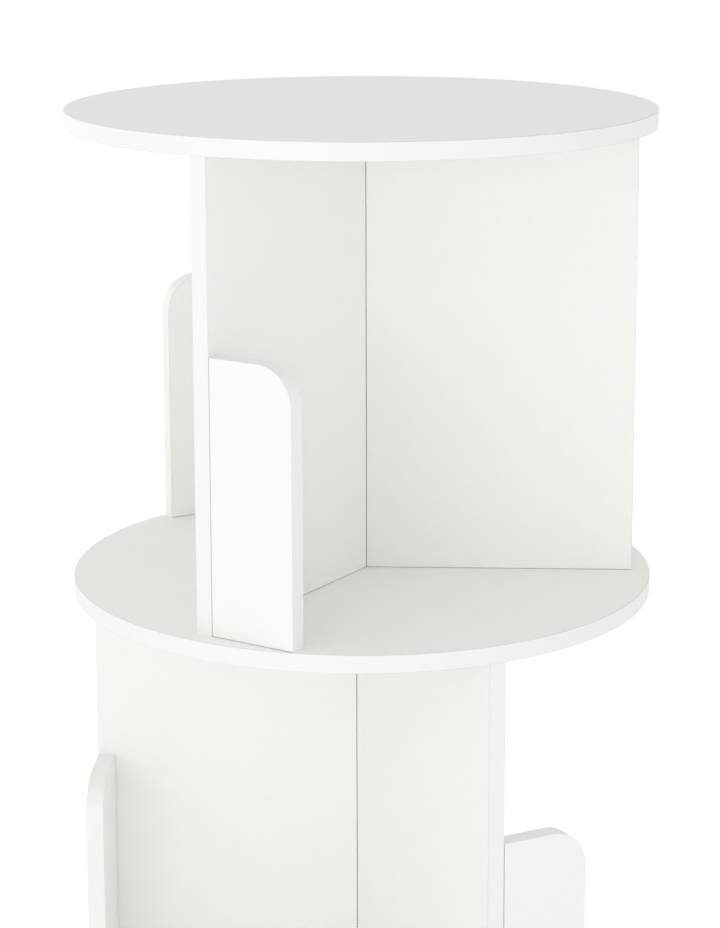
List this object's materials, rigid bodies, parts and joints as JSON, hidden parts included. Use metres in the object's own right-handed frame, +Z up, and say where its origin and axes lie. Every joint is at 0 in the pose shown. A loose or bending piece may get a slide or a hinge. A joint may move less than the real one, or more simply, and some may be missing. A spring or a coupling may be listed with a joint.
{
  "type": "revolving desktop bookcase",
  "caption": "Round white bookcase whose stacked shelves turn on a ball bearing base, with spoked upright panels that part each tier into book compartments and low round-cornered book stops.",
  "frame": {"origin": "on the axis of rotation, at the underside of the rubber feet", "axes": "+Z up along the axis of rotation; +X along the first upright panel of the upper tier; +Y to the left of it seen from above"},
  "size_m": [0.3999, 0.4, 0.6856],
  "materials": {
    "white_coated_board": "satin white coated board",
    "white_edge_strip": "satin white edge strip",
    "turntable_steel": "zinc plated sheet",
    "ball_steel": "polished",
    "retainer_nylon": "natural nylon",
    "screw_steel": "zinc plated",
    "beech_dowel": "raw beech",
    "foot_rubber": "matt black"
  },
  "bodies": {
    "base": {"base_board": "white_coated_board", "base_board_edge": "white_edge_strip", "rubber_feet": "foot_rubber", "foot_screws": "screw_steel", "turntable_lower_plate": "turntable_steel", "lower_plate_screws": "screw_steel"},
    "ball_cage": {"ball_retainer": "retainer_nylon", "bearing_balls": "ball_steel"},
    "carousel": {"bottom_shelf": "white_coated_board", "bottom_shelf_edge": "white_edge_strip", "lower_panel_1": "white_coated_board", "lower_panel_2": "white_coated_board", "lower_panel_3": "white_coated_board", "lower_panel_dowels": "beech_dowel", "lower_panel_edge_1": "white_edge_strip", "lower_panel_edge_2": "white_edge_strip", "lower_panel_edge_3": "white_edge_strip", "lower_panel_screws": "screw_steel", "lower_stop_1": "white_coated_board", "lower_stop_2": "white_coated_board", "lower_stop_3": "white_coated_board", "lower_stop_dowels": "beech_dowel", "lower_stop_edge_1": "white_edge_strip", "lower_stop_edge_2": "white_edge_strip", "lower_stop_edge_3": "white_edge_strip", "lower_stop_screws": "screw_steel", "middle_shelf": "white_coated_board", "middle_shelf_edge": "white_edge_strip", "top_board": "white_coated_board", "top_board_edge": "white_edge_strip", "turntable_upper_plate": "turntable_steel", "upper_panel_1": "white_coated_board", "upper_panel_2": "white_coated_board", "upper_panel_3": "white_coated_board", "upper_panel_dowels": "beech_dowel", "upper_panel_edge_1": "white_edge_strip", "upper_panel_edge_2": "white_edge_strip", "upper_panel_edge_3": "white_edge_strip", "upper_panel_screws": "screw_steel", "upper_plate_screws": "screw_steel", "upper_stop_1": "white_coated_board", "upper_stop_2": "white_coated_board", "upper_stop_3": "white_coated_board", "upper_stop_dowels": "beech_dowel", "upper_stop_edge_1": "white_edge_strip", "upper_stop_edge_2": "white_edge_strip", "upper_stop_edge_3": "white_edge_strip", "upper_stop_screws": "screw_steel"}
  },
  "joints": [
    {"name": "carousel_spin", "type": "hinge", "parent": "base", "child": "carousel", "pos_m": [0, 0, 0.0245], "axis": [0, 0, 1], "continuous": true},
    {"name": "ball_cage_spin", "type": "hinge", "parent": "base", "child": "ball_cage", "pos_m": [0, 0, 0.0245], "axis": [0, 0, 1], "continuous": true}
  ],
  "couplings": [
    {"joint": "ball_cage_spin", "follows": "carousel_spin", "ratio": 0.5}
  ]
}
